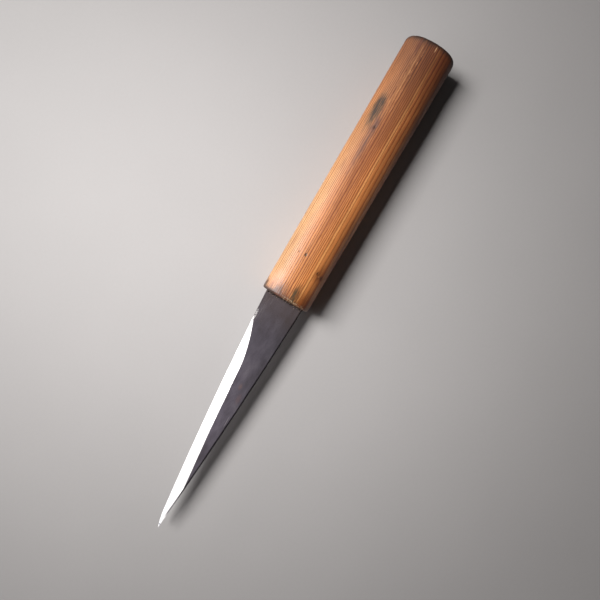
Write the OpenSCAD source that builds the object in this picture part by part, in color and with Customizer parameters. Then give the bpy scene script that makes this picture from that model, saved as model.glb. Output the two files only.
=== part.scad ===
// Slender pointed carving knife, lying on its handle with the flat of the blade level.
// +X runs from the butt to the tip, +Y towards the spine, +Z up (bevelled face up).
// The origin is on the ground, under the middle of the knife's length and width.

/* [Handle] */
// Length of the wooden handle
handle_len = 131; // [115:1:145]
// Width of the handle at the butt
handle_w_butt = 25; // [22:0.1:28]
// Width of the handle where the blade leaves it
handle_w_front = 23.6; // [21:0.1:26]
// Thickness of the handle before its underside is planed flat
handle_t = 18.3; // [16:0.1:22]
// Fullness of the oval section (2 is an ellipse, higher is squarer)
handle_fullness = 2.3; // [2:0.1:3]
// Depth planed off the underside, so that the knife rests without rolling
rest_flat_depth = 0.15; // [0.1:0.05:0.4]
// Radius worn on the edge of the butt
butt_edge_r = 1.8; // [0.8:0.1:3]
// Radius worn on the front edge of the handle
front_edge_r = 1.0; // [0.5:0.1:1.6]

/* [Blade] */
// Length of the blade outside the handle
blade_len = 120.3; // [105:0.1:135]
// Thickness of the blade
blade_t = 2.3; // [2:0.1:3]
// Distance from the handle's middle line to the edge side of the blade, at the handle
edge_side_y = 9.48; // [8:0.01:9.6]
// Distance from the handle's middle line to the spine, at the handle
spine_side_y = 9.39; // [8:0.01:9.6]
// Angle between the edge side and the handle's middle line, at the handle
edge_slope = 3.5; // [3:0.1:4]
// Radius of the long belly of the cutting edge
edge_belly_r = 1920; // [1800:10:2400]
// Angle between the spine and the handle's middle line, at the handle
spine_slope = 1.7; // [1.4:0.1:2]
// Radius of the long drop of the spine
spine_drop_r = 2200; // [2000:10:2600]
// Length over which the edge sweeps up to the point
tip_sweep = 8; // [5:0.5:12]
// Chamfer along the upper edge of the spine
spine_chamfer = 0.6; // [0.3:0.1:0.9]

/* [Bevel] */
// Angle between the bevel and the flat back
bevel_angle = 24.8; // [22:0.1:28]
// Distance from the handle at which the bevel has its full width
bevel_full_at = 39; // [36:0.5:45]
// Radius of the grinding wheel that runs the bevel out towards the handle
wheel_r = 160; // [150:1:200]
// Thickness left at the cutting edge
edge_land = 0.06; // [0.04:0.01:0.15]

/* [Lamination] */
// Thickness of the hard steel layer forge-welded to the flat back
steel_t = 0.7; // [0.5:0.1:1]

/* [Tang] */
// Length of the tang inside the handle
tang_len = 65; // [50:1:80]
// Width of the tang at the shoulders
tang_w = 12.5; // [10:0.1:14]
// Width of the tang where its point starts
tang_w_end = 7; // [5:0.1:9]
// Thickness of the glue around the tang
glue_gap = 0.35; // [0.2:0.05:0.5]

/* [Hidden] */

front_x = (handle_len - blade_len) / 2;
mid_z = handle_t / 2 - rest_flat_depth;
top_z = mid_z - glue_gap;
back_z = top_z - blade_t;
steel_z = back_z + steel_t;
tip_y = spine_y(blade_len);
outline_step = 7;
belly_facets = 3;
tip_facets = 3;
spine_facets = 5;
tang_point_len = 8;
tang_point_w = 3;
section_points = 64;
edge_rings = 5;
far = 40;

// Edge side and spine of the blade, at distance x from the handle
function edge_line_y(x) = -edge_side_y + x * tan(edge_slope) + x * x / (2 * edge_belly_r);
function spine_y(x) = spine_side_y - x * tan(spine_slope) - x * x / (2 * spine_drop_r);
function sweep(x) = pow(max(0, x - (blade_len - tip_sweep)) / tip_sweep, 2);
function edge_y(x) = edge_line_y(x) + sweep(x) * (tip_y - edge_line_y(blade_len));

// Half width of the handle at distance u from the butt, before its ends are rounded
function handle_half_w(u) = (handle_w_butt + (handle_w_front - handle_w_butt) * u / handle_len) / 2;

// One ring of the handle's oval section, at x from the middle of the knife's length
function section_ring(x, half_w, half_t) = [
    for (i = [0 : section_points - 1])
        let (a = 360 * (i + 0.5) / section_points, p = 2 / handle_fullness)
        [x, half_w * sign(cos(a)) * pow(abs(cos(a)), p),
         mid_z + half_t * sign(sin(a)) * pow(abs(sin(a)), p)]
];

// Distance from the butt and depth of inset of each ring, rounding both ends
function end_rings(r) = [
    for (i = [0 : edge_rings])
        let (a = 90 * i / edge_rings)
        [r * (1 - cos(a)), r * (1 - sin(a))]
];
handle_stations = concat(
    end_rings(butt_edge_r),
    [for (e = end_rings(front_edge_r)) [handle_len - e[0], e[1]]]
);
function station_ring(s) = section_ring(
    front_x - handle_len + s[0], handle_half_w(s[0]) - s[1], handle_t / 2 - s[1]
);

// The whole handle as one solid, without its recess
module handle_solid() {
    butt_first = [for (i = [0 : edge_rings]) handle_stations[i]];
    front_last = [for (i = [0 : edge_rings]) handle_stations[2 * edge_rings + 1 - i]];
    stations = concat(butt_first, front_last);
    rings = len(stations);
    n = section_points;
    points = [for (s = stations) each station_ring(s)];
    sides = [
        for (r = [0 : rings - 2]) for (i = [0 : n - 1])
            [r * n + i, (r + 1) * n + i, (r + 1) * n + (i + 1) % n, r * n + (i + 1) % n]
    ];
    butt_cap = [[for (i = [0 : n - 1]) i]];
    front_cap = [[for (i = [n - 1 : -1 : 0]) (rings - 1) * n + i]];
    polyhedron(points, concat(sides, butt_cap, front_cap));
}

// Tang seen from above, grown by a margin on every side but the shoulders
module tang_outline(margin) {
    taper_end = -(tang_len - tang_point_len);
    polygon([
        [0, -tang_w / 2 - margin],
        [taper_end, -tang_w_end / 2 - margin],
        [-tang_len - margin, -tang_point_w / 2 - margin],
        [-tang_len - margin, tang_point_w / 2 + margin],
        [taper_end, tang_w_end / 2 + margin],
        [0, tang_w / 2 + margin]
    ]);
}

module tang_prism(margin) {
    translate([front_x, 0, back_z - margin])
        linear_extrude(height = blade_t + 2 * margin)
            tang_outline(margin);
}

// Room for the tang and its glue, open upwards through the seam between the halves
module tang_recess() {
    translate([front_x, 0, back_z - glue_gap])
        linear_extrude(height = mid_z + 1 - (back_z - glue_gap))
            tang_outline(glue_gap);
}

// The part of the handle inside the children
module handle_half() {
    intersection() {
        handle_solid();
        children();
    }
}

// Room above or below a level, wide enough for the handle
module slab(z_low, z_high) {
    translate([front_x - handle_len - far, -far, z_low])
        cube([handle_len + blade_len + 2 * far, 2 * far, z_high - z_low]);
}

// Blade seen from above, without its tang
module blade_outline() {
    straight_x = blade_len - tip_sweep;
    edge = [for (x = [0 : outline_step : straight_x - 1]) [x, edge_y(x)]];
    tip = [for (i = [0 : 5]) let (x = straight_x + tip_sweep * i / 5) [x, edge_y(x)]];
    spine_end = blade_len - 5;
    spine = [for (x = [spine_end : -outline_step * 2 : 1]) [x, spine_y(x)]];
    polygon(concat(edge, tip, spine, [[0, spine_side_y]]));
}

// Places children with X along a line that climbs at an angle, and Z square to the bevel
module on_edge(x, angle) {
    translate([front_x + x, edge_y(x), back_z + edge_land])
        rotate([0, 0, angle])
            rotate([bevel_angle, 0, 0])
                children();
}

// Everything that grinding takes off: flat facets along the edge, and the wheel's run-out
module bevel_cut() {
    belly_end = blade_len - tip_sweep;
    belly = [for (i = [0 : belly_facets]) bevel_full_at + (belly_end - bevel_full_at) * i / belly_facets];
    tip = [for (i = [1 : tip_facets]) belly_end + tip_sweep * i / tip_facets];
    facets = concat(belly, tip);
    for (i = [0 : len(facets) - 2]) {
        x1 = facets[i];
        x2 = facets[i + 1];
        on_edge(x1, atan2(edge_y(x2) - edge_y(x1), x2 - x1))
            translate([0, -far / 2, 0])
                cube([blade_len, far, far / 4]);
    }
    wheel_slope = atan2(edge_y(bevel_full_at) - edge_y(bevel_full_at - 1), 1);
    on_edge(bevel_full_at, wheel_slope)
        translate([0, 0, wheel_r])
            rotate([90, 0, 0])
                cylinder(h = far, r = wheel_r, center = true, $fn = 360);
}

// Chamfer along the upper edge of the spine
module spine_cut() {
    facet_len = blade_len / spine_facets;
    for (i = [0 : spine_facets - 1]) {
        x1 = i * facet_len;
        x2 = x1 + facet_len;
        translate([front_x + x1, spine_y(x1), top_z - spine_chamfer])
            rotate([0, 0, atan2(spine_y(x2) - spine_y(x1), facet_len)])
                rotate([45, 0, 0])
                    translate([-1, 0, -far / 4])
                        cube([facet_len + 2, far / 4, far / 2]);
    }
}

// Blade and lamination together, ground and chamfered
module blade_solid() {
    difference() {
        translate([front_x, 0, back_z])
            linear_extrude(height = blade_t)
                blade_outline();
        bevel_cut();
        spine_cut();
    }
}

module blade_iron() {
    color("#4d474c") {
        intersection() {
            blade_solid();
            slab(steel_z, top_z + 1);
        }
        tang_prism(0);
    }
}

module blade_steel_layer() {
    color("#d8d8dc")
        intersection() {
            blade_solid();
            slab(back_z - 1, steel_z);
        }
}

module tang_glue() {
    color("#3a2a1e")
        difference() {
            tang_prism(glue_gap);
            tang_prism(0);
        }
}

module handle_top_half() {
    color("#c4834f")
        handle_half()
            slab(mid_z, mid_z + handle_t);
}

// The recess for the tang is cut into this half only
module handle_bottom_half() {
    color("#b5763f")
        difference() {
            handle_half()
                slab(0, mid_z);
            tang_recess();
        }
}

blade_iron();
blade_steel_layer();
tang_glue();
handle_top_half();
handle_bottom_half();
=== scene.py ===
"""The looks of a slender carving knife.

It has an oval softwood handle in two glued halves and a laminated blade with one wide bevel. Meshes
are worked out in millimetres along the frame's axes and stored in metres.
"""

import math
import random

import bmesh
import bpy
import numpy as np
from mathutils import Matrix, Vector, noise


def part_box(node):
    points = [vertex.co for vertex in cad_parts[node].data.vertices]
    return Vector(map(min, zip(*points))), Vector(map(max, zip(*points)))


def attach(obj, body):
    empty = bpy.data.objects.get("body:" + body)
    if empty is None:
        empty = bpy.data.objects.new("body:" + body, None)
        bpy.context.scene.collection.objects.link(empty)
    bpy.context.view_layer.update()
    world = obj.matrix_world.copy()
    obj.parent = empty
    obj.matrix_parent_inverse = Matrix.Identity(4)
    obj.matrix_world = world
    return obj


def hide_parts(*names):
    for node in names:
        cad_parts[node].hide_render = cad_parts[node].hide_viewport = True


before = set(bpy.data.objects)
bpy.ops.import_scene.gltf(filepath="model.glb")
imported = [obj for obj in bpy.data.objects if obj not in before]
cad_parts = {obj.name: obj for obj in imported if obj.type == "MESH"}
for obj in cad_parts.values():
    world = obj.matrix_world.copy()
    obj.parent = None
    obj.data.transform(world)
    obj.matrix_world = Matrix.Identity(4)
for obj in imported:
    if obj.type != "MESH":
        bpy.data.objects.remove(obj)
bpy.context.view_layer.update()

MM = 0.001


def box_mm(node):
    """Lowest and highest corner of a CAD node, in millimetres."""
    low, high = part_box(node)
    return low / MM, high / MM


# Places taken from the frame
steel_low, steel_high = box_mm("blade_steel_layer")
iron_low, iron_high = box_mm("blade_iron")
top_low, top_high = box_mm("handle_top_half")
glue_low, _ = box_mm("tang_glue")
BUTT_X = top_low.x
FRONT_X = top_high.x
SPLIT_Z = top_low.z
HANDLE_LEN = FRONT_X - BUTT_X
BLADE_LEN = steel_high.x - FRONT_X
BACK_Z = steel_low.z
STEEL_Z = steel_high.z
FACE_Z = iron_high.z
TANG_END_X = iron_low.x
RECESS_END_X = glue_low.x
GLUE_GAP = TANG_END_X - RECESS_END_X

# Sizes repeated from the CAD source
HANDLE_W_BUTT, HANDLE_W_FRONT = 25.0, 23.6
HANDLE_T = 18.3
HANDLE_FULLNESS = 2.3
BUTT_EDGE_R, FRONT_EDGE_R = 1.8, 1.0
EDGE_SIDE_Y, SPINE_SIDE_Y = 9.48, 9.39
EDGE_SLOPE, SPINE_SLOPE = math.tan(math.radians(3.5)), math.tan(math.radians(1.7))
EDGE_BELLY_R, SPINE_DROP_R = 1920.0, 2200.0
TIP_SWEEP = 8.0
SPINE_CHAMFER = 0.6
BEVEL_ANGLE = math.radians(24.8)
BEVEL_FULL_AT = 39.0
WHEEL_R = 160.0
EDGE_LAND = 0.06
TANG_W, TANG_W_END, TANG_POINT_W, TANG_POINT_LEN = 12.5, 7.0, 3.0, 8.0

# Wood: the pith lies this far from the handle's middle, at this angle from the level
PITH_DISTANCE = 46.0
PITH_ANGLE = math.radians(16)
RING_WIDTH = 0.95
GRAIN_SLOPE = 0.012
GRAIN_RELIEF = 0.045
END_RELIEF = 0.10
SEAM_DEPTH, SEAM_HALF_WIDTH = 0.07, 0.13
SKIN = 0.035  # how far the wood lies inside the CAD surface at least
UPPER_SEED, LOWER_SEED = 11.3, 43.9

# Blade and glue
TIP_TURN = 0.35  # radians, for the edge at the very tip
TANG_WEAR, TANG_CORNER, TANG_END_CHAMFER = 0.04, 0.18, 0.3
BEAD_END_GAP = 0.15  # from the ends of the glue bead to the sides of the blade
CRUMB_COUNT, CRUMB_SEED = 26, 7

# Mesh density
STATION_STEP = 0.45
ARC_STEPS = 120
CAP_RINGS = 12
BLADE_STEP = 0.5
TIP_LEN, TIP_STATIONS = 3.0, 13
STEEL_STATIONS = 232
WALL_STEPS, BEVEL_STEPS, FLAT_STEPS, CHAMFER_STEPS, SIDE_STEPS = 2, 8, 26, 3, 2
STEEL_STEPS = (2, 4, 3, 2, 10)  # wall, bevel, weld, spine side and flat back
BEAD_STATIONS, BEAD_SIDES, CRUMB_SIDES = 150, 10, 6
WALL_SIDES = 96


def noise_at(x, y, z):
    """Smooth noise from about -1 to 1."""
    return noise.noise(Vector((x, y, z)))


def smoothstep(x, low, high):
    t = np.clip((x - low) / (high - low), 0, 1)
    return t * t * (3 - 2 * t)


# ---------------------------------------------------------------- meshes


def placed(name, data):
    """Makes an object of a mesh, light or camera and puts it in the scene."""
    made = bpy.data.objects.new(name, data)
    bpy.context.scene.collection.objects.link(made)
    return made


def made_from(bm, name, materials):
    """Makes an object of a bmesh."""
    mesh = bpy.data.meshes.new(name)
    bm.to_mesh(mesh)
    bm.free()
    for material in materials:
        mesh.materials.append(material)
    return placed(name, mesh)


class Shape:
    """Points and faces collected for one mesh. A face has a material's number."""

    def __init__(self):
        self.points, self.rings, self.faces, self.materials = [], [], [], []

    def add(self, points, rings=None):
        """Adds points and returns their numbers."""
        first = len(self.points)
        self.points.extend(tuple(p) for p in points)
        self.rings.extend(rings if rings is not None else [0.0] * len(points))
        return list(range(first, len(self.points)))

    def face(self, corners, material=0):
        self.faces.append(corners)
        self.materials.append(material)

    def strip(self, row_a, row_b, material=0, closed=False):
        """Quads between two rows of as many points. material can be a list, one for each quad."""
        count = len(row_a) if closed else len(row_a) - 1
        materials = material if isinstance(material, list) else [material] * count
        for i in range(count):
            j = (i + 1) % len(row_a)
            self.face([row_a[i], row_a[j], row_b[j], row_b[i]], materials[i])

    def finished(self, name, materials, with_rings=False, sharp_angle=35):
        """Makes the object, joins points that coincide and sets its shading."""
        bm = bmesh.new()
        layer = bm.verts.layers.float.new("ring") if with_rings else None
        verts = [bm.verts.new(Vector(p) * MM) for p in self.points]
        if layer:
            for v, value in zip(verts, self.rings):
                v[layer] = value
        for face, material in zip(self.faces, self.materials):
            corners = [number for k, number in enumerate(face) if number != face[k - 1]]
            if len(corners) > 2:
                bm.faces.new([verts[i] for i in corners]).material_index = material
        bmesh.ops.remove_doubles(bm, verts=bm.verts, dist=1e-6)
        bmesh.ops.dissolve_degenerate(bm, edges=bm.edges, dist=1e-7)
        bmesh.ops.recalc_face_normals(bm, faces=bm.faces)
        made = made_from(bm, name, materials)
        made.data.shade_smooth()
        made.data.set_sharp_from_angle(angle=math.radians(sharp_angle))
        return made


# ---------------------------------------------------------------- handle


def handle_half_width(x):
    return (HANDLE_W_BUTT + (HANDLE_W_FRONT - HANDLE_W_BUTT) * (x - BUTT_X) / HANDLE_LEN) / 2


def oval(angles, half_w, half_t):
    """The handle's section: y, z from the split, and the outward direction's y and z."""
    power = 2 / HANDLE_FULLNESS
    c, s = np.cos(angles), np.sin(angles)
    y = half_w * np.sign(c) * np.abs(c) ** power
    z = half_t * np.sign(s) * np.abs(s) ** power
    ny = np.sign(y) * np.abs(y / half_w) ** (HANDLE_FULLNESS - 1) / half_w
    nz = np.sign(z) * np.abs(z / half_t) ** (HANDLE_FULLNESS - 1) / half_t
    size = np.hypot(ny, nz)
    return y, z, ny / size, nz / size


def arc_angles():
    """Angles from seam to seam, evenly spaced along the surface but closer beside the seams."""
    fine = np.linspace(0, math.pi, 4001)
    y, z, _, _ = oval(fine, HANDLE_W_BUTT / 2, HANDLE_T / 2)
    along = np.concatenate([[0], np.cumsum(np.hypot(np.diff(y), np.diff(z)))])
    beside_seam = np.array([0, 0.05, 0.11, 0.19])
    first_even = 0.32
    even = np.linspace(first_even, along[-1] - first_even, ARC_STEPS)
    wanted = np.concatenate([beside_seam, even, along[-1] - beside_seam[::-1]])
    return np.interp(wanted, along, fine)


def ring_phase(x, y, z, seed):
    """How many growth rings lie between the pith and a point. z is from the split."""
    across = y - GRAIN_SLOPE * x + PITH_DISTANCE * math.cos(PITH_ANGLE)
    up = z + PITH_DISTANCE * math.sin(PITH_ANGLE)
    r = math.hypot(across, up)
    # The rings wander from true circles, in long waves and short ones, and vary in width
    r += 0.30 * noise_at(x / 55, y / 7, seed + z / 7) + 0.06 * noise_at(x / 9, y / 2, seed - z / 2)
    return r / RING_WIDTH + 0.75 * noise_at(r / 3.3, seed, 0.5) + 0.3 * noise_at(r / 1.4, seed, 4.5)


def latewood(phase):
    """1 on the dense dark line that ends each growth ring, 0 in the soft wood before it."""
    part = phase - np.floor(phase)
    return smoothstep(part, 0.45, 0.86) * (1 - smoothstep(part, 0.93, 1.0))


# Small hollows on the upper half: X from the front, Y, half length, half width and depth
HOLLOWS = (
    (-21.7, -1.75, 0.55, 0.35, 0.30),
    (-21.6, -5.1, 0.40, 0.25, 0.18),
    (-17.3, 7.1, 0.60, 0.45, 0.34),
    (-16.2, 9.3, 0.75, 0.50, 0.24),
    (-127.0, -5.6, 2.3, 0.22, 0.06),
    (-85.3, -4.1, 0.70, 0.40, 0.18),
    (-50.0, 3.4, 1.5, 0.25, 0.10),
    (-104.0, -2.6, 3.0, 0.18, 0.08),
    (-69.0, -7.9, 2.0, 0.20, 0.08),
    (-33.0, 0.7, 1.6, 0.22, 0.09),
)


def hollow_depth(x, y):
    depth = 0.0
    for hx, hy, length, width, deep in HOLLOWS:
        d = ((x - FRONT_X - hx) / length) ** 2 + ((y - hy) / width) ** 2
        if d < 9:  # further out it is too shallow to matter
            depth += deep * math.exp(-d)
    return depth


def edge_wear(x, y, z, seed):
    """Extra depth worn and knocked off the two end edges."""
    from_end = min(x - BUTT_X, FRONT_X - x)
    if from_end > 4:  # the wear has faded out by here
        return 0.0
    knocks = max(0.0, noise_at(y / 1.7, z / 1.7, seed + x / 40) - 0.12)
    return (0.30 * knocks + 0.05 * noise_at(y / 0.6, z / 0.6, seed)) * math.exp(-from_end / 0.9)


def handle_surface(x, inset, angles, side, seed, with_hollows):
    """One row of the handle's outside, as points and growth rings.

    side is 1 above the split and -1 below it.
    """
    half_w, half_t = handle_half_width(x) - inset, HANDLE_T / 2 - inset
    y, z, ny, nz = oval(angles, half_w, half_t)
    phases = np.array([ring_phase(x, yy, side * zz, seed) for yy, zz in zip(y, z)])
    depth = np.full(len(y), SKIN)
    depth += GRAIN_RELIEF * (1 - latewood(phases))
    depth += SEAM_DEPTH * np.exp(-((z / SEAM_HALF_WIDTH) ** 2))
    # Left by the hand tools that shaped it
    shaping = [0.05 + 0.05 * noise_at(x / 24, yy / 6, seed + side * zz / 6) for yy, zz in zip(y, z)]
    depth += np.array(shaping)
    depth += np.array([max(0.0, edge_wear(x, yy, side * zz, seed)) for yy, zz in zip(y, z)])
    if with_hollows:
        depth += np.array([hollow_depth(x, yy) if zz > 4 else 0.0 for yy, zz in zip(y, z)])
    level = SPLIT_Z + side * np.maximum(z - nz * depth, 0)
    return np.column_stack([np.full(len(y), x), y - ny * depth, np.maximum(level, 0)]), phases


def handle_stations():
    """Places along X with the inset that rounds the ends, from the butt to the front."""
    turns = np.radians(np.linspace(0, 90, 8))
    rounding = [(1 - math.cos(a), 1 - math.sin(a)) for a in turns]
    butt = [(BUTT_X + BUTT_EDGE_R * along, BUTT_EDGE_R * inset) for along, inset in rounding]
    front = [(FRONT_X - FRONT_EDGE_R * along, FRONT_EDGE_R * inset) for along, inset in rounding]
    first, last = BUTT_X + BUTT_EDGE_R, FRONT_X - FRONT_EDGE_R
    steps = round((last - first) / STATION_STEP)
    middle = [(float(x), 0.0) for x in np.linspace(first, last, steps + 1)[1:-1]]
    taper_end = (TANG_END_X + TANG_POINT_LEN, 0.0)
    recess_end = [(RECESS_END_X, 0.0), (RECESS_END_X, 0.0)]
    return sorted(butt + middle + [taper_end] + recess_end) + front[::-1]


def tang_half_width(x):
    """Half width of the tang. Past its end it stays that of its blunt point."""
    taper_end = TANG_END_X + TANG_POINT_LEN
    if x >= taper_end:
        return (TANG_W_END + (TANG_W - TANG_W_END) * (x - taper_end) / (FRONT_X - taper_end)) / 2
    in_point = max(0.0, x - TANG_END_X)
    return (TANG_POINT_W + (TANG_W_END - TANG_POINT_W) * in_point / TANG_POINT_LEN) / 2


def handle_half(name, side, seed, skin, end_grain, with_hollows):
    """One half of the handle. The lower one has the recess for the tang in its flat side."""
    shape = Shape()
    angles = arc_angles()
    recess = 0.0 if side > 0 else SPLIT_Z - BACK_Z + GLUE_GAP
    outside, slots = [], []
    seen_recess_end = 0  # two rows lie there, and the recess starts at the second
    for x, inset in handle_stations():
        points, phases = handle_surface(x, inset, angles, side, seed, with_hollows)
        outside.append(shape.add(points, phases))
        if x == RECESS_END_X:
            seen_recess_end += 1
        deep = recess if seen_recess_end > 1 else 0.0
        half = tang_half_width(x) + GLUE_GAP
        slots.append((x, half, deep))
    for row_a, row_b in zip(outside, outside[1:]):
        shape.strip(row_a, row_b, 0)

    def cap_row(x, outer, inner, share, lift):
        """A row between the outside and an inner outline, on an end face."""
        points, phases = [], []
        for y, z in outer + (inner - outer) * share:
            phase = ring_phase(x, y, z - SPLIT_Z, seed)
            points.append((x + lift * (1 - float(latewood(phase))), y, z))
            phases.append(phase)
        return shape.add(points, phases)

    def cap(station_row, x, inner, lift):
        outer = np.array([shape.points[i][1:] for i in station_row])
        rows = [station_row]
        for k in range(1, CAP_RINGS):
            rows.append(cap_row(x, outer, inner, k / CAP_RINGS, lift))
        for row_a, row_b in zip(rows, rows[1:]):
            shape.strip(row_a, row_b, 1)
        return rows

    # Butt: rows that close in on the middle
    centre = np.array([[0.0, SPLIT_Z]] * len(angles))
    butt_rows = cap(outside[0], BUTT_X, centre, END_RELIEF)
    middle = shape.add([(BUTT_X, 0, SPLIT_Z)])[0]
    last = butt_rows[-1]
    for i in range(len(last) - 1):
        shape.face([last[i], last[i + 1], middle], 1)

    # Front: rows that close in on the slot for the tang
    _, half, deep = slots[-1]
    floor = SPLIT_Z + side * deep
    corners = [(half, SPLIT_Z), (half, floor), (-half, floor), (-half, SPLIT_Z)]
    turns = [0, len(angles) // 4, len(angles) - 1 - len(angles) // 4, len(angles) - 1]
    numbers = np.arange(len(angles))
    inner = np.column_stack([
        np.interp(numbers, turns, [c[0] for c in corners]),
        np.interp(numbers, turns, [c[1] for c in corners]),
    ])
    front_rows = cap(outside[-1], FRONT_X, inner, -END_RELIEF)
    slot_front = shape.add([(FRONT_X, y, z) for y, z in corners])
    last = front_rows[-1]
    for part in range(3):
        span = last[turns[part] : turns[part + 1] + 1]
        shape.face(span + [slot_front[part + 1], slot_front[part]], 1)

    # Flat side with the recess
    shares = [k / CAP_RINGS for k in range(1, CAP_RINGS)]
    inside = [[r[0] for r in butt_rows] + [middle] * 4 + [r[-1] for r in butt_rows[::-1]]]
    for (x, half, deep), row in list(zip(slots, outside))[1:-1]:
        start, end = shape.points[row[0]][1], shape.points[row[-1]][1]
        right = [(x, start + (half - start) * share, SPLIT_Z) for share in shares]
        left = [(x, -half + (end + half) * share, SPLIT_Z) for share in shares]
        floor = SPLIT_Z + side * deep
        slot = [(x, half, SPLIT_Z), (x, half, floor), (x, -half, floor), (x, -half, SPLIT_Z)]
        inside.append([row[0]] + shape.add(right + slot + left) + [row[-1]])
    inside.append([r[0] for r in front_rows] + slot_front + [r[-1] for r in front_rows[::-1]])
    for row_a, row_b in zip(inside, inside[1:]):
        shape.strip(row_a, row_b, 2)
    return shape.finished(name, [skin, end_grain, skin], with_rings=True, sharp_angle=50)


# ---------------------------------------------------------------- blade


def edge_y(x):
    """Edge side of the blade at x from the handle."""
    line = -EDGE_SIDE_Y + x * EDGE_SLOPE + x * x / (2 * EDGE_BELLY_R)
    end = -EDGE_SIDE_Y + BLADE_LEN * EDGE_SLOPE + BLADE_LEN**2 / (2 * EDGE_BELLY_R)
    share = max(0.0, x - (BLADE_LEN - TIP_SWEEP)) / TIP_SWEEP
    return line + share**2 * (spine_y(BLADE_LEN) - end)


def spine_y(x):
    return SPINE_SIDE_Y - x * SPINE_SLOPE - x * x / (2 * SPINE_DROP_R)


def forge_unevenness(x, y):
    """How far the forged face lies below a true plane."""
    waves = 0.035 + 0.035 * noise_at(x / 13, y / 5, 2.2)
    scale = 0.010 + 0.012 * noise_at(x / 1.3, y / 0.9, 8.1)
    return max(0.0, waves + scale)


def blade_section(x):
    """Corners of the blade's cross section at x from the handle, as (y, z) pairs by name."""
    edge, spine = edge_y(x), spine_y(x)
    turn = math.atan(edge_y(x + 0.05) - edge_y(x - 0.05)) if x < BLADE_LEN - 0.05 else TIP_TURN
    rise = math.tan(BEVEL_ANGLE) * math.cos(turn)
    short = max(0.0, BEVEL_FULL_AT - x)
    run_out = (WHEEL_R - math.sqrt(WHEEL_R**2 - short**2)) / math.cos(BEVEL_ANGLE)
    wobble = 0.04 * noise_at(x / 6, 3.3, 0.7) + 0.02 * noise_at(x / 1.5, 1.3, 5.7)
    base = BACK_Z + EDGE_LAND + run_out
    top = FACE_Z - forge_unevenness(x, edge + 5)
    meets_top = edge + max(0.0, top + wobble - base) / rise
    start = spine - SPINE_CHAMFER
    if meets_top <= start:
        bevel_end, flat_end, side_top = (meets_top, top), (start, top), top - SPINE_CHAMFER
    else:
        crossing = (top + start - base + rise * edge) / (1 + rise)
        if crossing <= spine:
            bevel_end = (crossing, top + start - crossing)
            side_top = top - SPINE_CHAMFER
        else:
            bevel_end = (spine, base + rise * (spine - edge))
            side_top = bevel_end[1]
        flat_end = bevel_end
    wall = min(base, top)
    at_steel = edge + max(0.0, STEEL_Z - base) / rise
    return {
        "edge": edge, "spine": spine, "wall": wall, "bevel_end": bevel_end,
        "flat_end": flat_end, "side_top": side_top, "at_steel": min(at_steel, spine),
    }


def between(a, b, steps):
    """Points from a to b, without b."""
    shares = [i / steps for i in range(steps)]
    return [(a[0] + (b[0] - a[0]) * share, a[1] + (b[1] - a[1]) * share) for share in shares]


def iron_ends_at():
    """Distance from the handle at which the bevel has cut all the iron away."""
    low, high = BLADE_LEN - 20, BLADE_LEN  # it ends somewhere between these
    for _ in range(30):
        x = (low + high) / 2
        if blade_section(x)["side_top"] > STEEL_Z:
            low = x
        else:
            high = x
    return low


def iron_ring(x):
    """The iron's cross section, and the spine-side and edge-side ends of its weld line.

    The section runs from the edge-side end over the top to the spine side.
    """
    s = blade_section(x)
    low = (s["at_steel"], STEEL_Z)
    wall = (s["edge"], s["wall"]) if s["wall"] > STEEL_Z else low
    ring = between(low, wall, WALL_STEPS)
    bevel = between(wall, s["bevel_end"], BEVEL_STEPS)
    flat = between(s["bevel_end"], s["flat_end"], FLAT_STEPS)
    flat = [(y, z if i == 0 else FACE_Z - forge_unevenness(x, y)) for i, (y, z) in enumerate(flat)]
    if s["bevel_end"] == s["flat_end"]:
        flat = [s["flat_end"]] * FLAT_STEPS
    side = (s["spine"], s["side_top"])
    chamfer = between(s["flat_end"], side, CHAMFER_STEPS)
    down = between(side, (s["spine"], STEEL_Z), SIDE_STEPS)
    ring += bevel + flat + chamfer + down
    return ring, (s["spine"], STEEL_Z), low


def weld_shares():
    """Where the tang's corners fall along the weld line at the shoulders, from spine to edge."""
    corners = (TANG_W / 2, TANG_W / 6, -TANG_W / 6, -TANG_W / 2)
    return [(SPINE_SIDE_Y - y) / (SPINE_SIDE_Y + EDGE_SIDE_Y) for y in corners]


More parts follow.
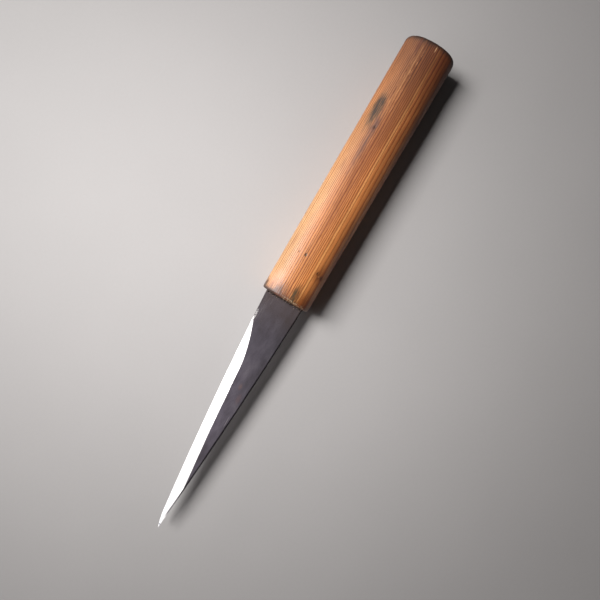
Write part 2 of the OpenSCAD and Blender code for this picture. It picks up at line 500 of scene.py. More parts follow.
def blade_iron(scale, ground):
    """The soft iron of the blade with its tang."""
    shape = Shape()
    rows = []
    last_x = iron_ends_at()
    count = round(last_x / BLADE_STEP)
    for x in np.linspace(0, last_x, count + 1):
        ring, spine_corner, edge_corner = iron_ring(float(x))
        weld = [
            (spine_corner[0] + (edge_corner[0] - spine_corner[0]) * share, STEEL_Z)
            for share in weld_shares()
        ]
        rows.append(shape.add([(FRONT_X + x, y, z) for y, z in ring + [spine_corner] + weld]))
    bevel = range(WALL_STEPS, WALL_STEPS + BEVEL_STEPS)
    kinds = [1 if i in bevel else 0 for i in range(len(rows[0]))]
    for row_a, row_b in zip(rows, rows[1:]):
        shape.strip(row_a, row_b, kinds, closed=True)

    # Tang: the same number of points, so that the shoulders are one flat ring of faces
    over = len(ring)
    taper_end = TANG_END_X + TANG_POINT_LEN
    shoulders = [FRONT_X, FRONT_X - 0.4]  # the corners are sharp here, and worn after it
    stations = shoulders + list(np.linspace(FRONT_X - 3, taper_end, 24))
    stations += list(np.linspace(taper_end, TANG_END_X + TANG_END_CHAMFER, 8)[1:]) + [TANG_END_X]
    turns = [0, 2, 4, over - 4, over - 2, over]
    numbers = np.arange(over + 1)
    previous = rows[0]
    for number, x in enumerate(stations):
        half = tang_half_width(x)
        worn, soft = (0.0, 0.0) if number < len(shoulders) else (TANG_WEAR, TANG_CORNER)
        up, down = FACE_Z - worn, BACK_Z + worn
        if number == len(stations) - 1:
            half -= TANG_END_CHAMFER
            up -= TANG_END_CHAMFER
            down += TANG_END_CHAMFER
        outline = [
            (-half, STEEL_Z), (-half, up - soft), (-half + soft, up),
            (half - soft, up), (half, up - soft), (half, STEEL_Z),
        ]
        y = np.interp(numbers, turns, [p[0] for p in outline])
        z = np.interp(numbers, turns, [p[1] for p in outline])
        points = [(x, a, b) for a, b in zip(y, z)]
        points += [(x, half, STEEL_Z), (x, half, down), (x, -half, down), (x, -half, STEEL_Z)]
        row = shape.add(points)
        shape.strip(previous, row, 0, closed=True)
        previous = row
    shape.face(previous, 0)
    return shape.finished("blade_iron_forged", [scale, ground])


def blade_steel(ground, back):
    """The thin hard steel that carries the cutting edge and makes the flat back."""
    shape = Shape()
    rows = []
    stations = list(np.linspace(0, BLADE_LEN - TIP_LEN, STEEL_STATIONS))
    stations += list(np.linspace(BLADE_LEN - TIP_LEN, BLADE_LEN, TIP_STATIONS)[1:])
    for x in stations:
        s = blade_section(float(x))
        edge, spine = s["edge"], s["spine"]
        height = min(STEEL_Z, s["side_top"])
        corners = [
            (edge, BACK_Z), (edge, min(height, s["wall"])), (s["at_steel"], height),
            (spine, height), (spine, BACK_Z), (edge, BACK_Z),
        ]
        ring = []
        for start, end, steps in zip(corners, corners[1:], STEEL_STEPS):
            ring += between(start, end, steps)
        if x == stations[-1]:
            ring = [(spine, BACK_Z + min(z - BACK_Z, EDGE_LAND)) for _, z in ring]
        rows.append(shape.add([(FRONT_X + x, y, z) for y, z in ring]))
    kinds = [0] * sum(STEEL_STEPS[:-1]) + [1] * STEEL_STEPS[-1]
    for row_a, row_b in zip(rows, rows[1:]):
        shape.strip(row_a, row_b, kinds, closed=True)
    shape.face(rows[0], 0)
    return shape.finished("blade_steel_edge", [ground, back])


# ---------------------------------------------------------------- glue


def glue_film(material, dust):
    """The glue round the tang, with the bead squeezed out over the blade and the crumbs in it."""
    shape = Shape()

    def ring(x, margin):
        """The tang's section, grown by a margin."""
        half = tang_half_width(x) + margin
        up, down = FACE_Z + margin, BACK_Z - margin
        return [(x, half, up), (x, half, down), (x, -half, down), (x, -half, up)]

    stations = list(np.linspace(FRONT_X, TANG_END_X, 30))
    outer = [shape.add(ring(x, GLUE_GAP)) for x in stations]
    back = shape.add([(RECESS_END_X, y, z) for _, y, z in ring(TANG_END_X, GLUE_GAP)])
    inner = [shape.add(ring(x, 0)) for x in stations]
    for rows in (outer + [back], inner):
        for row_a, row_b in zip(rows, rows[1:]):
            shape.strip(row_a, row_b, closed=True)
    shape.strip(outer[0], inner[0], closed=True)
    shape.face(back)
    shape.face(inner[-1])

    # Bead along the mouth
    rows = []
    reach = min(EDGE_SIDE_Y, SPINE_SIDE_Y) - BEAD_END_GAP
    for y in np.linspace(-reach, reach, BEAD_STATIONS):
        thick = 0.26 + 0.16 * noise_at(y / 0.9, 4.4, 1.1) + 0.10 * noise_at(y / 0.35, 9.4, 2.1)
        thick = max(0.08, thick) * min(1.0, (reach - abs(y)) / 0.5 + 0.05)
        wide = thick * (1.5 + 0.6 * noise_at(y / 1.4, 2.6, 3.1))
        row = []
        for k in range(BEAD_SIDES):
            a = 2 * math.pi * k / BEAD_SIDES
            x = FRONT_X + 0.02 + wide * (0.9 + math.cos(a))
            row.append((x, y, FACE_Z + thick * (0.35 + math.sin(a))))
        rows.append(shape.add(row))
    for row_a, row_b in zip(rows, rows[1:]):
        shape.strip(row_a, row_b, closed=True)
    shape.face(rows[0])
    shape.face(rows[-1])

    # Crumbs
    crumbs = random.Random(CRUMB_SEED)
    for _ in range(CRUMB_COUNT):
        y = crumbs.uniform(-reach, reach)
        x = FRONT_X + abs(crumbs.gauss(0.75, 0.45)) + 0.2
        size = crumbs.uniform(0.07, 0.2)
        add_crumb(shape, (x, y, FACE_Z + size * 0.3), size, crumbs, 1)
    return shape.finished("tang_glue_bead", [material, dust])


def add_crumb(shape, place, size, chance, material):
    """A small lump: a ring of points with one above and one below."""
    x, y, z = place
    ring = []
    for k in range(CRUMB_SIDES):
        a = 2 * math.pi * k / CRUMB_SIDES
        r = size * chance.uniform(0.6, 1.2)
        up = size * chance.uniform(-0.2, 0.2)
        ring.append((x + r * math.cos(a), y + r * math.sin(a), z + up))
    numbers = shape.add(ring)
    ends = shape.add([(x, y, z + size * chance.uniform(0.6, 0.9)), (x, y, z - size * 0.6)])
    for k in range(CRUMB_SIDES):
        for end in ends:
            shape.face([numbers[k], numbers[(k + 1) % CRUMB_SIDES], end], material)


# ---------------------------------------------------------------- materials


class Graph:
    """A material's node graph, built up from expressions.

    Lengths are millimetres. x is measured from the handle's front: the handle lies below 0.
    """

    def __init__(self, name):
        self.material = bpy.data.materials.new(name)
        self.material.use_nodes = True
        self.tree = self.material.node_tree
        self.tree.nodes.clear()
        self.shader = self.tree.nodes.new("ShaderNodeBsdfPrincipled")
        output = self.tree.nodes.new("ShaderNodeOutputMaterial")
        self.tree.links.new(self.shader.outputs[0], output.inputs[0])
        place = self.tree.nodes.new("ShaderNodeTexCoord").outputs["Object"]
        self.point = self.vector("SCALE", place, scale=1 / MM)
        split = self.tree.nodes.new("ShaderNodeSeparateXYZ")
        self.tree.links.new(self.point, split.inputs[0])
        along, self.y, _ = split.outputs
        self.x = self.math("SUBTRACT", along, FRONT_X)

    def plug(self, socket, value):
        if isinstance(value, bpy.types.NodeSocket):
            self.tree.links.new(value, socket)
        elif isinstance(value, tuple):
            socket.default_value = value[: len(socket.default_value)]
        elif value is not None:
            socket.default_value = value

    def set(self, **values):
        """Sets inputs of the shader. A name's underscores stand for spaces."""
        for name, value in values.items():
            self.plug(self.shader.inputs[name.replace("_", " ")], value)

    def math(self, operation, a, b=None):
        node = self.tree.nodes.new("ShaderNodeMath")
        node.operation = operation
        for socket, value in zip(node.inputs, (a, b)):
            self.plug(socket, value)
        return node.outputs[0]

    def add(self, *values):
        total = values[0]
        for value in values[1:]:
            total = self.math("ADD", total, value)
        return total

    def times(self, *values):
        total = values[0]
        for value in values[1:]:
            total = self.math("MULTIPLY", total, value)
        return total

    def vector(self, operation, a, b=None, scale=None):
        node = self.tree.nodes.new("ShaderNodeVectorMath")
        node.operation = operation
        self.plug(node.inputs[0], a)
        self.plug(node.inputs[1], b)
        if scale is not None:
            self.plug(node.inputs["Scale"], scale)
        return node.outputs[0]

    def length(self, a):
        node = self.tree.nodes.new("ShaderNodeVectorMath")
        node.operation = "LENGTH"
        self.plug(node.inputs[0], a)
        return node.outputs["Value"]

    def ring(self):
        """The growth ring's number, as the wood's mesh stores it."""
        node = self.tree.nodes.new("ShaderNodeAttribute")
        node.attribute_name = "ring"
        return node.outputs["Fac"]

    def stretched(self, along, y, z):
        """The place in units of these lengths, so that a noise is drawn out along X."""
        return self.vector("MULTIPLY", self.point, (1 / along, 1 / y, 1 / z))

    def noise(self, vector, detail=2.0, roughness=0.5):
        node = self.tree.nodes.new("ShaderNodeTexNoise")
        self.plug(node.inputs["Vector"], vector)
        node.inputs["Scale"].default_value = 1.0
        node.inputs["Detail"].default_value = detail
        node.inputs["Roughness"].default_value = roughness
        return node.outputs["Fac"]

    def step(self, value, low, high, out_low=0.0, out_high=1.0):
        """Smooth step from out_low to out_high as value goes from low to high."""
        node = self.tree.nodes.new("ShaderNodeMapRange")
        node.interpolation_type = "SMOOTHSTEP"
        for socket, setting in zip(node.inputs, (value, low, high, out_low, out_high)):
            self.plug(socket, setting)
        return node.outputs[0]

    def mix(self, factor, a, b):
        """The colour a, or b where factor is 1."""
        node = self.tree.nodes.new("ShaderNodeMix")
        node.data_type = "RGBA"
        factor_in, a_in, b_in = (node.inputs[i] for i in (0, 6, 7))  # those for colours
        self.plug(factor_in, factor)
        self.plug(a_in, a)
        self.plug(b_in, b)
        return node.outputs[2]

    def ramp(self, factor, *stops):
        """Colours by place, as (place, colour) pairs."""
        node = self.tree.nodes.new("ShaderNodeValToRGB")
        elements = node.color_ramp.elements
        while len(elements) < len(stops):
            elements.new(0.5)
        for element, (place, colour) in zip(elements, stops):
            element.position = place
            element.color = colour
        self.plug(node.inputs[0], factor)
        return node.outputs[0]

    def bright(self, colour, factor):
        """The colour made lighter or darker by a factor."""
        return self.vector("SCALE", colour, scale=factor)

    def spot(self, x, y, length, width, blur=0.5, wander=0.6):
        """1 inside a ragged blot of that half length and half width along the grain, else 0."""
        dx = self.math("DIVIDE", self.math("SUBTRACT", self.x, x), length)
        across = self.add(self.y, self.times(self.x, -GRAIN_SLOPE), GRAIN_SLOPE * x - y)
        dy = self.math("DIVIDE", across, width)
        away = self.math("SQRT", self.add(self.times(dx, dx), self.times(dy, dy)))
        ragged = self.noise(self.stretched(2.5, 0.45, 0.8), 3.0, 0.6)
        away = self.add(away, self.times(self.math("SUBTRACT", ragged, 0.5), wander * 2))
        return self.step(away, 1 + blur, 1 - blur)

    def bump(self, height, distance):
        """Raises the surface by height times distance, in millimetres."""
        node = self.tree.nodes.new("ShaderNodeBump")
        node.inputs["Strength"].default_value = 1.0
        node.inputs["Distance"].default_value = distance * MM
        self.plug(node.inputs["Height"], height)
        self.plug(self.shader.inputs["Normal"], node.outputs[0])


def rgb(red, green, blue):
    """A colour given as a screen shows it, 0 to 255, turned to linear light."""
    def linear(v):
        v = v / 255
        return v / 12.92 if v <= 0.04045 else ((v + 0.055) / 1.055) ** 2.4
    return (linear(red), linear(green), linear(blue), 1.0)


def wood(name, marked):
    """Oiled softwood with narrow growth rings, worn and soiled by use.

    marked adds the upper side's pale ring, stains and wear.
    """
    g = Graph(name)
    waver = g.math("SUBTRACT", g.noise(g.stretched(3.0, 0.35, 0.35), 2.0), 0.5)
    part = g.math("FRACT", g.add(g.ring(), g.times(waver, 0.20)))
    colour = g.ramp(
        part,
        (0.0, rgb(230, 158, 96)), (0.30, rgb(220, 147, 86)), (0.52, rgb(200, 124, 66)),
        (0.72, rgb(160, 86, 40)), (0.92, rgb(140, 70, 30)), (1.0, rgb(222, 150, 88)),
    )
    # How strongly the rings show changes from place to place
    clear = g.noise(g.stretched(30.0, 2.5, 2.5), 2.0)
    colour = g.mix(g.step(clear, 0.42, 0.75, 0.0, 0.35), colour, rgb(196, 121, 65))
    # They are fainter where they meet the surface at a low angle
    colour = g.mix(g.step(g.y, 5.0, 7.5, 0.0, 0.50), colour, rgb(190, 112, 62))
    if marked:
        colour = pale_ring(g, waver, colour)
    # Paler on the edge-side slope, most towards the front: painted sheen of the window light on the
    # slope that faces it. Redder along the middle
    painted_sheen = g.times(g.step(g.y, -4.6, -8.8), g.step(g.x, -120.0, -30.0))
    colour = g.mix(painted_sheen, colour, g.vector("MULTIPLY", colour, (0.90, 1.26, 1.80)))
    middle = g.spot(-70.0, -0.2, 38.0, 5.4, 0.9, 0.3)
    colour = g.mix(g.times(middle, 0.80), colour, g.vector("MULTIPLY", colour, (0.74, 0.66, 0.68)))
    # Darker along the edge side of the rear, a little lighter towards the spine side
    rear = g.times(g.step(g.y, -1.0, -6.5), g.step(g.x, -44.0, -84.0))
    spine_side = g.step(g.y, 0.5, 5.0)
    colour = g.bright(colour, g.add(1.0, g.times(rear, -0.26), g.times(spine_side, 0.16)))
    # Fibres
    fibre = g.noise(g.stretched(7.0, 0.16, 0.16), 3.0, 0.6)
    fine = g.noise(g.stretched(1.6, 0.07, 0.07), 2.0)
    pores = g.noise(g.stretched(0.5, 0.22, 0.22), 2.0)
    blotch = g.noise(g.stretched(22.0, 4.5, 4.5), 3.0)
    streak = g.noise(g.stretched(9.0, 0.55, 0.55), 2.0, 0.6)
    tone = g.add(
        g.times(fibre, 0.36), g.times(fine, 0.16), g.times(pores, 0.14),
        g.times(blotch, 0.36), g.times(streak, 0.62), 0.19,
    )
    colour = g.bright(colour, tone)
    # Darker towards the butt end, partly where oil and soil have gone in and partly painted shade
    # for the light falling off towards the butt; darker too at both rims
    soiled = g.noise(g.stretched(9.0, 2.2, 2.2), 3.0)
    from_butt = g.add(g.x, HANDLE_LEN)
    from_front = g.times(g.x, -1.0)
    clean_and_lit_side = g.step(g.y, 0.0, -9.0)
    clean_and_lit = g.add(from_butt, g.times(clean_and_lit_side, 21.0), g.times(soiled, 14.0), -7.0)
    soil_and_falloff_shade = g.step(clean_and_lit, 80.0, 0.0)
    colour = g.mix(soil_and_falloff_shade, colour, g.bright(g.vector("MULTIPLY", colour, (1.0, 0.70, 0.52)), 0.19))
    butt_rim = g.step(g.add(from_butt, g.times(soiled, 1.6)), 4.6, 1.4)
    colour = g.mix(g.times(butt_rim, 0.85), colour, rgb(30, 20, 16))
    front_rim = g.step(g.add(from_front, g.times(soiled, 2.2)), 3.8, 1.7)
    colour = g.mix(g.times(front_rim, 0.72), colour, rgb(74, 46, 34))
    # Darker again where the spine side turns under: painted shade on the flank that faces away from
    # the light
    colour = g.bright(colour, g.step(g.y, 9.4, 11.8, 1.0, 0.72))
    if marked:
        colour = upper_marks(g, colour, from_front)
    # Polish from the hand, most towards the front
    worn = g.step(g.add(from_front, g.times(soiled, 14.0)), 95.0, 12.0)
    rough = g.add(0.46, g.times(worn, -0.11), g.times(fibre, 0.16), g.times(soil_and_falloff_shade, 0.10))
    g.set(Base_Color=colour, Roughness=rough, IOR=1.5, Coat_Weight=0.10, Coat_Roughness=0.34)
    late = g.times(g.step(part, 0.45, 0.86), g.step(part, 1.0, 0.93))
    g.bump(g.add(g.times(fibre, 0.8), g.times(fine, 0.5), g.times(late, 0.35)), 0.04)
    return g.material


def pale_ring(g, waver, colour):
    """The pale ring that runs the handle's length, between a darker line and lighter wood."""
    at = g.add(g.y, g.times(g.x, -0.0115), g.times(waver, 0.25), -0.07)
    pale = g.step(g.math("ABSOLUTE", g.math("SUBTRACT", at, 5.16)), 0.62, 0.12)
    before = g.step(g.math("ABSOLUTE", g.math("SUBTRACT", at, 4.35)), 0.55, 0.10)
    beside = g.times(g.step(at, 5.2, 5.9), g.step(at, 9.4, 7.4), g.step(g.x, -101.0, -51.0))
    colour = g.mix(g.times(beside, 0.36), colour, rgb(212, 136, 74))
    colour = g.mix(g.times(pale, 0.60), colour, rgb(236, 172, 104))
    return g.mix(g.times(before, 0.30), colour, rgb(150, 80, 36))


def upper_marks(g, colour, from_front):
    """Stains and wear on the upper side of the handle."""
    black = rgb(38, 22, 10)
    grey = rgb(88, 62, 36)
    plum = rgb(98, 64, 54)
    olive = rgb(70, 62, 44)
    pit = rgb(72, 34, 14)
    russet = rgb(88, 42, 22)
    umber = rgb(128, 66, 32)
    pink = rgb(226, 164, 134)
    dark = rgb(34, 22, 16)
    straw = rgb(232, 170, 112)
    # X from the front, Y, half length, half width, blur of the edge, colour and strength
    blots = (
        (-92.2, -7.4, 8.2, 2.15, 0.55, grey, 0.95),
        (-95.6, -7.4, 4.2, 1.70, 0.60, black, 0.86),
        (-90.8, -7.6, 3.4, 1.00, 0.60, black, 0.74),
        (-77.0, -4.3, 12.0, 1.20, 0.80, plum, 0.72),
        (-86.0, -4.2, 3.6, 1.20, 0.80, plum, 0.78),
        (-85.2, -4.1, 0.9, 0.60, 0.70, black, 0.70),
        (-126.0, -5.6, 3.8, 0.62, 0.60, russet, 0.85),
        (-66.0, -1.2, 24.0, 1.9, 0.80, umber, 0.42),
        (-88.0, 1.6, 20.0, 1.3, 0.80, umber, 0.34),
        (-39.0, -0.5, 8.0, 1.0, 0.80, umber, 0.30),
        (-112.0, -3.4, 14.5, 0.22, 0.60, straw, 0.30),
        (-5.1, -7.6, 4.6, 2.6, 0.70, pink, 0.75),
        (-0.4, -3.6, 5.0, 5.0, 0.80, plum, 1.0),
        (-1.5, 8.6, 5.5, 3.6, 0.80, umber, 0.80),
        (-3.4, 3.2, 4.8, 1.65, 0.60, olive, 0.88),
        (-16.8, 8.2, 2.8, 2.1, 0.80, umber, 0.66),
        (-17.3, 7.1, 0.95, 0.60, 0.55, dark, 0.74),
        (-16.2, 9.3, 1.05, 0.60, 0.60, dark, 0.66),
        (-16.3, 7.9, 0.45, 0.28, 0.50, straw, 0.55),
        (-24.5, -1.85, 4.6, 0.24, 0.60, pit, 0.40),
        (-21.7, -1.75, 0.85, 0.55, 0.50, dark, 1.0),
        (-21.6, -5.1, 0.50, 0.32, 0.50, pit, 0.80),
        (-24.5, -9.4, 3.4, 0.6, 0.80, umber, 0.30),
        (-65.0, -7.7, 3.0, 0.9, 0.80, umber, 0.25),
    )
    # Pale fibres, rubbed bare in short broken lines
    bare = g.step(g.noise(g.stretched(5.0, 0.32, 0.32), 3.0, 0.6), 0.54, 0.66)
    across = g.times(g.step(g.y, -0.8, -1.9), g.step(g.y, -5.6, -4.2))
    along = g.times(g.step(g.x, -86.0, -98.0), g.step(g.x, -129.0, -121.0))
    colour = g.mix(g.times(bare, across, along, 0.42), colour, rgb(228, 164, 110))
    # Stains, which the grain breaks into streaks
    streaks = g.step(g.noise(g.stretched(5.0, 0.42, 0.42), 2.0), 0.34, 0.58, 0.50, 1.06)
    for x, y, length, width, blur, stain, strength in blots:
        blot = g.spot(x, y, length, width, blur)
        colour = g.mix(g.times(blot, strength, streaks), colour, stain)
    # A pale nick beside the butt
    nick = g.spot(-127.9, 1.9, 1.3, 0.20, 0.5, 0.2)
    colour = g.mix(g.times(nick, 0.50), colour, rgb(216, 172, 128))
    # Scorched and rubbed corner at the front, on the edge side
    char = g.noise(g.stretched(1.2, 0.8, 0.8), 3.0)
    end = g.step(g.add(from_front, g.times(char, 1.4)), 2.5, 1.3)
    end = g.times(end, g.step(g.y, -4.0, -7.0))
    flank = g.step(g.add(from_front, g.times(char, 6.0)), 9.5, 5.5)
    flank = g.times(flank, g.step(g.y, -9.8, -10.9))
    colour = g.mix(g.times(g.math("MAXIMUM", end, flank), 0.85), colour, rgb(48, 33, 28))
    # Pale chips along the front edge
    chips = g.step(g.noise(g.stretched(0.5, 0.5, 0.5), 2.0), 0.55, 0.62)
    chips = g.times(chips, g.step(from_front, 1.7, 0.9), g.step(g.y, -3.0, 0.0))
    return g.mix(g.times(chips, 0.75), colour, rgb(206, 180, 148))


def end_wood(name):
    """End grain at the butt and the front, darkened by oil and scorching."""
    g = Graph(name)
    pores = g.noise(g.stretched(2.0, 0.13, 0.13), 3.0, 0.7)
    waver = g.times(g.math("SUBTRACT", pores, 0.5), 0.15)
    part = g.math("FRACT", g.add(g.ring(), waver))
    colour = g.ramp(
        part,
        (0.0, rgb(134, 88, 56)), (0.5, rgb(120, 76, 46)),
        (0.85, rgb(78, 44, 26)), (1.0, rgb(128, 84, 54)),
    )
    blotch = g.noise(g.stretched(4.0, 3.5, 3.5), 3.0)
    colour = g.bright(colour, g.add(g.times(pores, 0.5), g.times(blotch, 0.7), 0.35))
    from_front = g.times(g.x, -1.0)
    scorch = g.step(g.add(from_front, g.times(blotch, 1.5)), 1.8, 0.2)
    colour = g.mix(g.times(scorch, 0.7), colour, rgb(52, 34, 26))
    g.set(Base_Color=colour, Roughness=g.add(0.58, g.times(pores, 0.2)), IOR=1.48)
    g.bump(g.add(pores, g.times(g.step(part, 0.5, 0.9), 0.6)), 0.06)
    return g.material


def distance_from_spine(g):
    """How far a point of the blade lies from the spine, across the blade."""
    drop = g.times(g.x, g.x, -0.5 / SPINE_DROP_R)
    return g.add(SPINE_SIDE_Y, g.times(g.x, -SPINE_SLOPE), drop, g.times(g.y, -1.0))


def forge_scale(name):
    """Blue-grey oxide left by forging on the iron's upper face, rubbed along its length."""
    g = Graph(name)
    cloud = g.noise(g.stretched(9.0, 4.0, 4.0), 4.0, 0.6)
    speck = g.noise(g.stretched(0.35, 0.28, 0.28), 2.0, 0.6)
    rub = g.noise(g.stretched(6.0, 0.10, 0.10), 2.0, 0.6)
    colour = g.ramp(cloud, (0.25, rgb(66, 60, 67)), (0.5, rgb(82, 76, 86)), (0.8, rgb(98, 92, 100)))
    colour = g.bright(colour, g.add(g.times(speck, 0.6), g.times(rub, 0.36), 0.50))
    # Painted light: darker towards the spine and lighter towards the edge side, with a dark line of
    # painted shade along the spine
    from_spine = distance_from_spine(g)
    colour = g.bright(colour, g.step(g.add(from_spine, g.times(cloud, 3.0)), 1.0, 9.5, 0.78, 1.14))
    # Painted light: the face darker beside the handle and lighter towards the tip
    colour = g.bright(colour, g.step(g.x, 2.0, 78.0, 0.70, 1.42))
    # Painted shade: a dark line along the spine's chamfer, which turns away from the light
    spine_edge_shade = g.step(g.add(from_spine, g.times(speck, 0.25)), 1.05, 0.75)
    colour = g.mix(g.times(spine_edge_shade, 0.75), colour, rgb(40, 34, 40))
    # Browner near the handle
    near = g.step(g.add(g.x, g.times(cloud, 14.0)), 28.0, 2.0)
    colour = g.mix(g.times(near, 0.50), colour, rgb(86, 70, 64))
    # Two rust spots and a scratch
    rust = g.times(g.spot(44.8, 2.6, 1.2, 0.7, 0.8), 0.34)
    colour = g.mix(rust, colour, rgb(128, 98, 88))
    rust = g.times(g.spot(50.0, 4.6, 2.0, 0.9, 0.8), 0.30)
    colour = g.mix(rust, colour, rgb(98, 62, 56))
    scratch = g.times(g.spot(61.7, 5.2, 2.6, 0.12, 0.5, 0.1), 0.5)
    colour = g.mix(scratch, colour, rgb(170, 164, 168))
    # Light scores along the ricasso, and painted glints where the bevel starts
    score = g.noise(g.stretched(11.0, 0.11, 0.3), 1.0)
    low_side = g.times(g.step(g.y, -2.5, -6.0), g.step(g.x, 24.0, 13.0))
    colour = g.mix(g.times(g.step(score, 0.60, 0.70), low_side, 0.40), colour, rgb(150, 140, 138))
    painted_glint = g.times(g.step(speck, 0.47, 0.52), g.spot(12.8, -8.2, 2.6, 0.5, 0.5, 0.3))
    colour = g.mix(g.times(painted_glint, 0.9), colour, rgb(240, 236, 236))
    # Pits near the handle, and a dark band along its mouth, partly soil and partly painted shade
    # where the blade enters the handle
    pit = g.times(g.step(speck, 0.40, 0.34), g.step(g.x, 24.0, 6.0))
    colour = g.mix(g.times(pit, 0.5), colour, rgb(40, 32, 30))
    mouth_soil_and_shade = g.step(g.add(g.x, g.times(speck, 1.6)), 2.0, 0.7)
    colour = g.mix(g.times(mouth_soil_and_shade, 0.75), colour, rgb(44, 33, 28))
    worn = g.step(speck, 0.60, 0.78)
    g.set(
        Base_Color=colour, Metallic=g.add(0.55, g.times(worn, 0.3)),
        Roughness=g.add(0.44, g.times(speck, 0.14), g.times(rub, 0.08)), IOR=1.6,
    )
    g.bump(g.add(g.times(cloud, 0.6), speck, g.times(rub, 0.5)), 0.018)
    return g.material


def ground_metal(name, tone, grain_turn, roughness, spine_line=0.0):
    """Metal ground and honed on a stone, with fine scratches across it at an angle to the edge.

    grain_turn is the scratches' angle in degrees. spine_line is how dark the painted shade is
    along the spine's edge, from 0 to 1.
    """
    g = Graph(name)
    turn = g.tree.nodes.new("ShaderNodeMapping")
    turn.inputs["Rotation"].default_value = (0, 0, math.radians(grain_turn))
    g.plug(turn.inputs["Vector"], g.point)
    lines = g.noise(g.vector("MULTIPLY", turn.outputs[0], (1 / 9.0, 1 / 0.05, 1 / 0.3)), 2.0, 0.6)
    cloud = g.noise(g.stretched(6.0, 2.0, 2.0), 3.0)
    colour = g.bright(tone, g.add(0.86, g.times(lines, 0.16), g.times(cloud, 0.12)))
    # A dull nick just before the point
    nick = g.spot(BLADE_LEN - 1.9, 2.55, 0.32, 0.5, 0.5, 0.2)
    colour = g.mix(nick, colour, rgb(110, 112, 128))
    if spine_line:
        # Painted shade: a dark line along the spine's edge, up to a little before the tip
        from_spine = distance_from_spine(g)
        before_tip = g.step(g.x, BLADE_LEN - 5.0, BLADE_LEN - 9.0)
        left = g.times(g.step(from_spine, 0.75, 0.45), before_tip)
        colour = g.mix(g.times(left, spine_line), colour, rgb(48, 42, 48))
    g.set(
        Base_Color=colour, Metallic=1.0,
        Roughness=g.add(roughness, g.times(lines, 0.10), g.times(cloud, 0.06)),
    )
    g.bump(lines, 0.003)
    return g.material


def dried_glue(name):
    g = Graph(name)
    lumps = g.noise(g.stretched(0.5, 0.5, 0.5), 3.0)
    colour = g.ramp(lumps, (0.3, rgb(34, 24, 20)), (0.6, rgb(62, 44, 34)), (0.85, rgb(110, 84, 62)))
    g.set(Base_Color=colour, Roughness=g.add(0.5, g.times(lumps, 0.3)), IOR=1.5)
    g.bump(lumps, 0.06)
    return g.material


def wood_dust(name):
    g = Graph(name)
    grain = g.noise(g.stretched(0.12, 0.12, 0.12), 2.0)
    colour = g.ramp(grain, (0.3, rgb(120, 96, 78)), (0.7, rgb(186, 164, 144)))
    g.set(Base_Color=colour, Roughness=0.85)
    g.bump(grain, 0.03)
    return g.material


# ---------------------------------------------------------------- pieces

skin_top = wood("softwood_upper", True)
skin_bottom = wood("softwood_lower", False)
end_grain = end_wood("softwood_end_grain")
scale = forge_scale("forge_scale")
BEVEL_GRAIN, BACK_GRAIN = 62, 8  # degrees from the blade's length
SPINE_LINE = 0.85
ground_iron = ground_metal("ground_iron", (0.66, 0.65, 0.65), BEVEL_GRAIN, 0.33, SPINE_LINE)
ground_steel = ground_metal("ground_steel", (0.74, 0.74, 0.75), BEVEL_GRAIN, 0.30, SPINE_LINE)
flat_back = ground_metal("stoned_back", (0.62, 0.62, 0.63), BACK_GRAIN, 0.20)
glue_skin = dried_glue("dried_glue")
dust = wood_dust("wood_dust")

top_wood = handle_half("handle_top_wood", 1, UPPER_SEED, skin_top, end_grain, True)
bottom_wood = handle_half("handle_bottom_wood", -1, LOWER_SEED, skin_bottom, end_grain, False)
PIECES = (
    (top_wood, "handle_top_half", "softwood"),
    (bottom_wood, "handle_bottom_half", "softwood"),
    (blade_iron(scale, ground_iron), "blade_iron", "forged_iron"),
    (blade_steel(ground_steel, flat_back), "blade_steel_layer", "edge_steel"),
    (glue_film(glue_skin, dust), "tang_glue", "glue"),
)
for piece, node, slot in PIECES:
    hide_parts(node)
    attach(piece, "root")

# ---------------------------------------------------------------- stage

TABLE_SIZE = 6.0
TABLE_TONE = rgb(189, 186, 186)
BRIGHTEST_AT = (-4.3, -34.4, 0.0)  # millimetres
FALL_REACH = 248.0  # millimetres over which the painted pool of light on the table falls off from there
TONE_AT_BRIGHTEST, TONE_FAR_OFF = 1.02, 0.48
WALL_RADIUS, WALL_FOOT, WALL_TOP = 0.75, -0.01, 1.2


def table_top():
    """The plain pale surface that the knife lies on."""
    g = Graph("pale_table")
    cloud = g.noise(g.stretched(55.0, 55.0, 55.0), 3.0)
    grit = g.noise(g.stretched(1.4, 1.4, 1.4), 2.0)
    across = g.vector("MULTIPLY", g.vector("SUBTRACT", g.point, BRIGHTEST_AT), (1, 1, 0))
    # Painted light: the table's tone is a pool of light that falls off around its brightest place
    painted_light_pool = g.step(g.length(across), 0.0, FALL_REACH, TONE_AT_BRIGHTEST, TONE_FAR_OFF)
    texture = g.add(0.95, g.times(cloud, 0.07), g.times(grit, 0.04))
    g.set(Base_Color=g.bright(TABLE_TONE, g.times(texture, painted_light_pool)), Roughness=0.62)
    bm = bmesh.new()
    bmesh.ops.create_grid(bm, x_segments=4, y_segments=4, size=TABLE_SIZE)
    return made_from(bm, "table", [g.material])


def backdrop():
    """A pale wall round the table. Only the camera sees it, so it takes no part in the lighting."""
    g = Graph("pale_wall")
    g.set(Base_Color=rgb(0, 0, 0), Roughness=1.0)
    g.set(Emission_Color=rgb(178, 176, 174), Emission_Strength=1.0)
    bm = bmesh.new()
    rims = []
    for level in (WALL_FOOT, WALL_TOP):
        turns = [2 * math.pi * k / WALL_SIDES for k in range(WALL_SIDES)]
        rims.append([
            bm.verts.new((WALL_RADIUS * math.cos(a), WALL_RADIUS * math.sin(a), level))
            for a in turns
        ])
    for k in range(WALL_SIDES):
        bm.faces.new([rims[0][k], rims[0][k - 1], rims[1][k - 1], rims[1][k]])
    made = made_from(bm, "wall", [g.material])
    made.data.shade_smooth()
    made.visible_diffuse = made.visible_glossy = made.visible_shadow = False
    return made


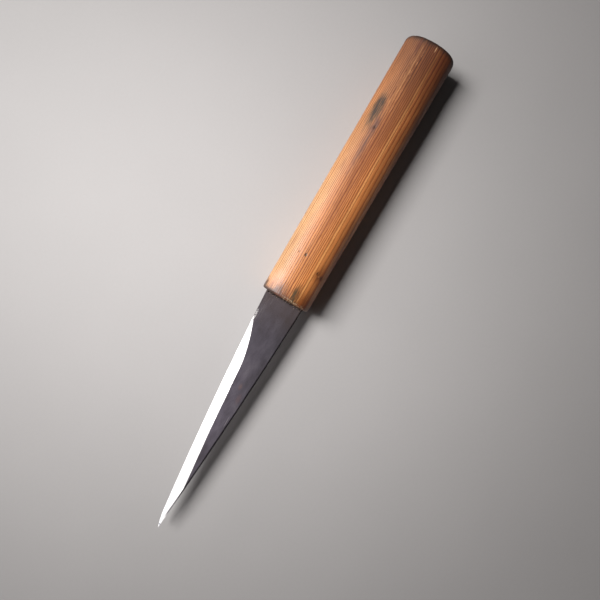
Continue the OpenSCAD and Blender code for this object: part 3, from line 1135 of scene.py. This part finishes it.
def soft_light(name, direction, distance, size, watts, colour):
    """A rectangle of light of that width and height, which faces the knife from that direction."""
    data = bpy.data.lights.new(name, "AREA")
    data.shape = "RECTANGLE"
    data.size, data.size_y = size
    data.energy = watts
    data.color = colour
    lamp = placed(name, data)
    away = Vector(direction).normalized()
    lamp.location = away * distance
    lamp.rotation_mode = "QUATERNION"
    lamp.rotation_quaternion = away.to_track_quat("Z", "Y")
    lamp.visible_camera = False


table_top()
backdrop()

WINDOW_ELEVATION = math.radians(49)
WINDOW_WAY = (0, -math.cos(WINDOW_ELEVATION), math.sin(WINDOW_ELEVATION))
# Name, direction, distance, width and height in metres, watts and colour
LIGHTS = (
    ("window", WINDOW_WAY, 1.2, (0.444, 0.60), 19.3, (1.0, 0.985, 0.965)),
    ("wall", (0.55, -0.72, 0.44), 1.5, (1.3, 0.8), 7.0, (1.0, 0.99, 0.99)),
    ("low_window", (0.1, -1.0, 0.20), 1.5, (1.4, 0.25), 5.6, (1.0, 0.93, 0.925)),
    ("room", (0.15, 1.0, 0.16), 1.5, (1.2, 0.3), 0.35, (1.0, 0.95, 0.92)),
)
for light in LIGHTS:
    soft_light(*light)

world = bpy.data.worlds.new("dim_room")
bpy.context.scene.world = world
world.use_nodes = True
background = world.node_tree.nodes["Background"]
WORLD_COLOUR, WORLD_STRENGTH = (1.0, 0.96, 0.94, 1.0), 0.03
background.inputs["Color"].default_value = WORLD_COLOUR
background.inputs["Strength"].default_value = WORLD_STRENGTH

# The camera looks straight down, from above the front of the handle
CAMERA_PLACE = Vector(((FRONT_X - 3.33) * MM, 6.02 * MM, 0.230))
CAMERA_BACK = Vector((0, 0, 1))
PICTURE_RIGHT = Vector((-0.5060, 0.8626, 0)).normalized()
SENSOR_WIDTH, LENS = 36.0, 29.07
camera_data = bpy.data.cameras.new("camera")
camera_data.sensor_width = SENSOR_WIDTH
camera_data.lens = LENS
camera_data.clip_start, camera_data.clip_end = 0.01, 50.0
camera = placed("camera", camera_data)
picture_up = CAMERA_BACK.cross(PICTURE_RIGHT)
turned = Matrix((PICTURE_RIGHT, picture_up, CAMERA_BACK)).transposed()
camera.matrix_world = Matrix.Translation(CAMERA_PLACE) @ turned.to_4x4()
bpy.context.scene.camera = camera
bpy.context.scene.view_settings.view_transform = "Standard"
